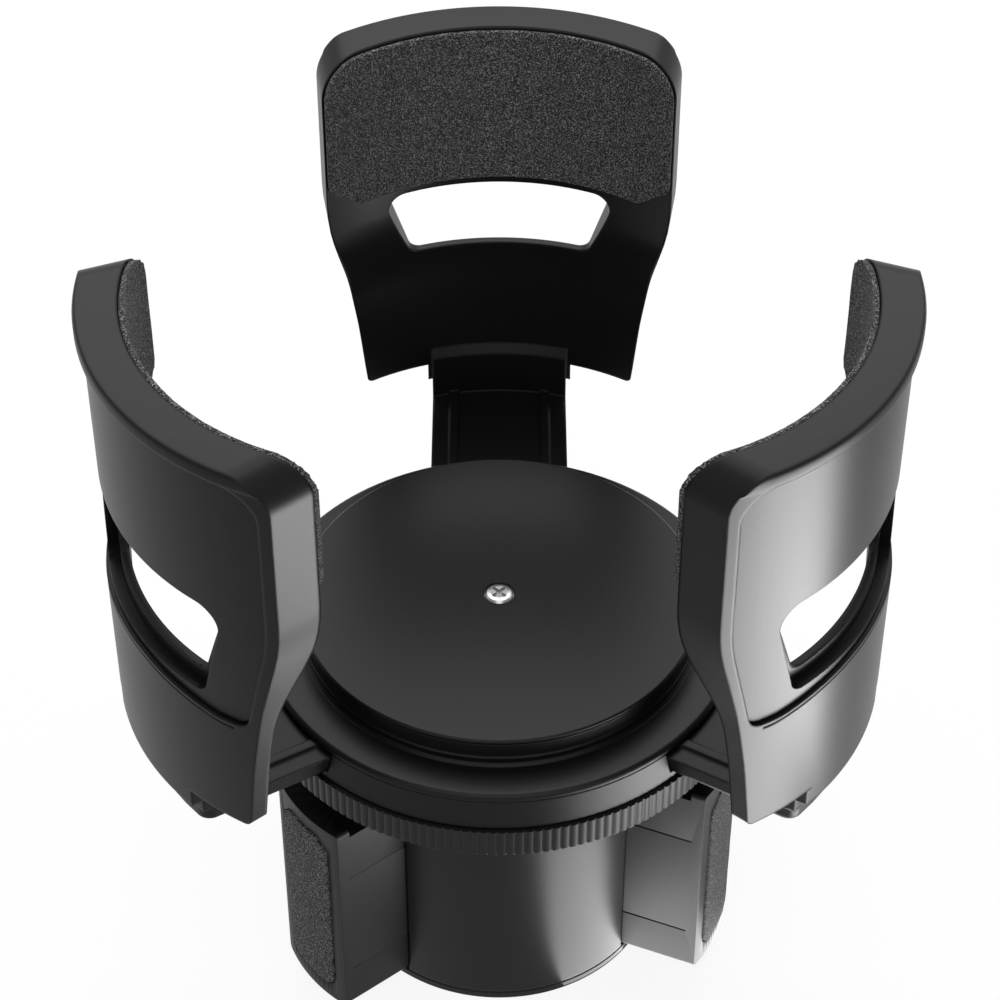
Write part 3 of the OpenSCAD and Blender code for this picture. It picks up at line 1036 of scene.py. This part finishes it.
@dataclass
class GripRing:
    """The knurled ring that draws the arms in. Sizes are in millimetres."""

    node: str = "grip_ring"
    ribs: int = 180
    depth: float = 0.4
    # A rib's outline: shares of the pitch and of the depth
    rib: tuple[Point, ...] = ((0.0, 0.0), (0.64, 0.0), (0.82, 1.0))
    radius: float = 52.0
    wall: float = 2.7
    overlap: float = 1.2  # how far the ribbed band and the ring inside it share
    low: float = 68.5
    top: float = 75.0

    def build(self, finishes: Finishes) -> None:
        """Gives the ring its flat-topped ribs.

        Args:
            finishes: the holder's materials.
        """
        band = Solid.plate(self._plan(), self.low, self.top) - self._drum(self.radius - self.wall)
        inside = Solid.of_node(self.node) & self._drum(self.radius - self.wall + self.overlap)
        mount((inside | band).piece(self.node, finishes.ring), self.node, "ring")

    def _plan(self) -> list[Point]:
        """The band's outline with its ribs, seen from above.

        Returns:
            Its points.
        """
        points = []
        for place in range(self.ribs):
            for share, drop in self.rib:
                angle = math.tau * (place + share) / self.ribs
                radius = self.radius - drop * self.depth
                points.append((radius * math.cos(angle), radius * math.sin(angle)))
        return points

    def _drum(self, radius: float) -> Solid:
        """A drum of that radius, taller than the ring."""
        return Solid.turned(oblong(HAIR, radius, self.low - CLEAR, self.top + CLEAR))


@dataclass
class ArmMould:
    """The solids that the three arms share."""

    housing: Solid
    cover: Solid
    foam: Solid

    @classmethod
    def of(cls, form: ArmForm) -> ArmMould:
        """Works the solids out.

        Args:
            form: the arm's sizes.

        Returns:
            The solids.
        """
        return cls(form.housing(), form.cover(), form.foam())


@dataclass
class Arm:
    """One of the three arms that close on the cup."""

    side: Side
    mould: ArmMould

    def build(self, finishes: Finishes) -> None:
        """Makes the arm's housing, cover and pad, and dresses its pin.

        Args:
            finishes: the holder's materials.
        """
        name, azimuth = "arm_" + self.side.value, self.side.azimuth
        housing = self.mould.housing.piece(name, finishes.arm, azimuth)
        mount(housing, name, name)
        cover = self.mould.cover.piece(name + "_cover", finishes.cover, azimuth)
        mount(cover, name + "_cover", name)
        dress(name + "_pin", finishes.steel)
        FoamPad(name + "_pad", name, self.mould.foam, azimuth).build(finishes.foam)


@dataclass
class Leg:
    """One of the three legs that grip the car's socket. Sizes are in millimetres."""

    side: Side
    turn: float = 8.0  # from the arm above it, in degrees
    lip: float = 3.1
    lip_height: float = 1.9
    top: float = 58.5
    # From the holder's axis: where the step behind the lip starts, and the lip's outer end
    shoulder: float = 36.5
    edge: float = 50.1

    def build(self, finishes: Finishes) -> None:
        """Makes the leg with the lip along its top, makes its pad and dresses its pin.

        Args:
            finishes: the holder's materials.
        """
        name = "leg_" + self.side.value
        above = oblong(-REACH, REACH, self.top - self.lip_height, REACH)
        step = Solid.block(above, self.shoulder, self.edge - self.lip)
        turn = Matrix.Rotation(math.radians(self.side.azimuth + self.turn), 4, "Z")
        leg = Solid.of_node(name) - step.moved(turn)
        mount(leg.piece(name, finishes.leg), name, name)
        dress(name + "_pin", finishes.steel)
        FoamPad(name + "_pad", name, Solid.of_node(name + "_pad")).build(finishes.foam)


@dataclass(frozen=True)
class Lamp:
    """A soft rectangular lamp, or a card that only glossy surfaces pick up."""

    name: str
    place: tuple[float, float, float]
    aim: tuple[float, float, float]
    size: Pair
    brightness: float
    card: bool = False
    turn: float = 0.0

    @classmethod
    def floor_card(cls, name: str, place: Point, size: Pair, brightness: float, turn: float = 0.0) -> Lamp:
        """A card that lies just above the floor and shines up.

        Args:
            name: its name.
            place: its middle, in X and Y.
            size: its two lengths.
            brightness: where 1 is the white of paper.
            turn: its turn about the upright, clockwise from above, in radians.

        Returns:
            The card.
        """
        return cls(name, (*place, CARD_HEIGHT), (*place, 1.0), size, brightness, True, turn)

    def light(self) -> None:
        """Puts the lamp up. Its power follows from its brightness, where 1 is the white of paper."""
        data = bpy.data.lights.new(self.name, "AREA")
        data.shape = "RECTANGLE"
        data.size, data.size_y = self.size
        data.energy = self.brightness * math.pi * self.size[0] * self.size[1]
        lamp = bpy.data.objects.new(self.name, data)
        lamp.location = self.place
        lamp.rotation_mode = "QUATERNION"
        aimed = (Vector(self.aim) - Vector(self.place)).to_track_quat("-Z", "Y")
        lamp.rotation_quaternion = aimed @ Quaternion((0, 0, 1), self.turn)
        lamp.visible_camera = False
        lamp.visible_diffuse = not self.card
        bpy.context.scene.collection.objects.link(lamp)
        log.info("lamp %s", self.name)


@dataclass
class Studio:
    """Camera, lamps, floor and background."""

    lens: float = 105.3
    elevation: float = math.radians(42.89)
    distance: float = 584.5 * MM
    target: tuple[float, float, float] = (0.17 * MM, 0.0, 116.1 * MM)
    clip: Pair = (0.01, 20.0)
    floor_half: float = 3.0
    floor_shade: float = 0.94
    floor_glow: float = 0.9
    ambient: float = 0.35
    lamps: list[Lamp] = field(
        default_factory=lambda: [
            Lamp("top", (0.0, 0.45, 0.75), (0, 0, 0.1), (0.9, 0.7), 3.3),
            Lamp("front", (0.0, -0.5, 0.9), (0, 0, 0.12), (0.8, 0.5), 1.8),
            Lamp.floor_card("near_card", (0.0435, -0.0453), (0.056, 0.042), 8.6, math.radians(65)),
            Lamp.floor_card("middle_card", (0.118, -0.1325), (0.064, 0.145), 16.0),
            Lamp.floor_card("far_card", (0.225, -0.1225), (0.150, 0.165), 24.0),
        ]
    )

    def build(self) -> None:
        """Sets the scene up."""
        self._camera()
        self._floor()
        self._world()
        for lamp in self.lamps:
            lamp.light()
        bpy.context.scene.view_settings.view_transform = "Standard"

    def _camera(self) -> None:
        """Makes the camera at the photograph's viewing angle."""
        data = bpy.data.cameras.new("camera")
        data.lens = self.lens
        data.clip_start, data.clip_end = self.clip
        camera = bpy.data.objects.new("camera", data)
        back = Vector((0.0, -math.cos(self.elevation), math.sin(self.elevation)))
        camera.location = Vector(self.target) + back * self.distance
        camera.rotation_mode = "QUATERNION"
        camera.rotation_quaternion = (-back).to_track_quat("-Z", "Y")
        bpy.context.scene.collection.objects.link(camera)
        bpy.context.scene.camera = camera

    def _floor(self) -> None:
        """Makes the pale floor that the holder stands on."""
        half = self.floor_half
        mesh = bpy.data.meshes.new("floor")
        corners = [(-half, -half, 0), (half, -half, 0), (half, half, 0), (-half, half, 0)]
        mesh.from_pydata(corners, [], [(0, 1, 2, 3)])
        floor = bpy.data.objects.new("floor", mesh)
        bpy.context.scene.collection.objects.link(floor)
        material, net = new_material("floor_paper")
        paper = net.node("ShaderNodeBsdfDiffuse", {}, {"Color": grey(self.floor_shade)})
        glow = net.node("ShaderNodeEmission", {}, {"Color": grey(1.0), "Strength": 1.0})
        mixed = net.node("ShaderNodeMixShader", {}, {0: net.seen() * self.floor_glow, 1: paper, 2: glow})
        net.node("ShaderNodeOutputMaterial", {}, {"Surface": mixed})
        mesh.materials.append(material)

    def _world(self) -> None:
        """Makes a white background that lights the holder only softly."""
        world = bpy.data.worlds.new("studio")
        world.use_nodes = True
        net = Net(world.node_tree)
        strength = net.seen() * (1.0 - self.ambient) + self.ambient
        sky = net.node("ShaderNodeBackground", {}, {"Color": grey(1.0), "Strength": strength})
        net.node("ShaderNodeOutputWorld", {}, {"Surface": sky})
        bpy.context.scene.world = world


def main() -> None:
    """Builds and dresses every piece, then the studio."""
    logging.basicConfig(level=logging.INFO, format="%(message)s")
    finishes = Finishes()
    mould = ArmMould.of(ArmForm())
    arms = [Arm(side, mould) for side in Side]
    for part in [Base(), Head(), GripRing(), *arms, *map(Leg, Side)]:
        part.build(finishes)
    Studio().build()


if __name__ == "__main__":
    main()
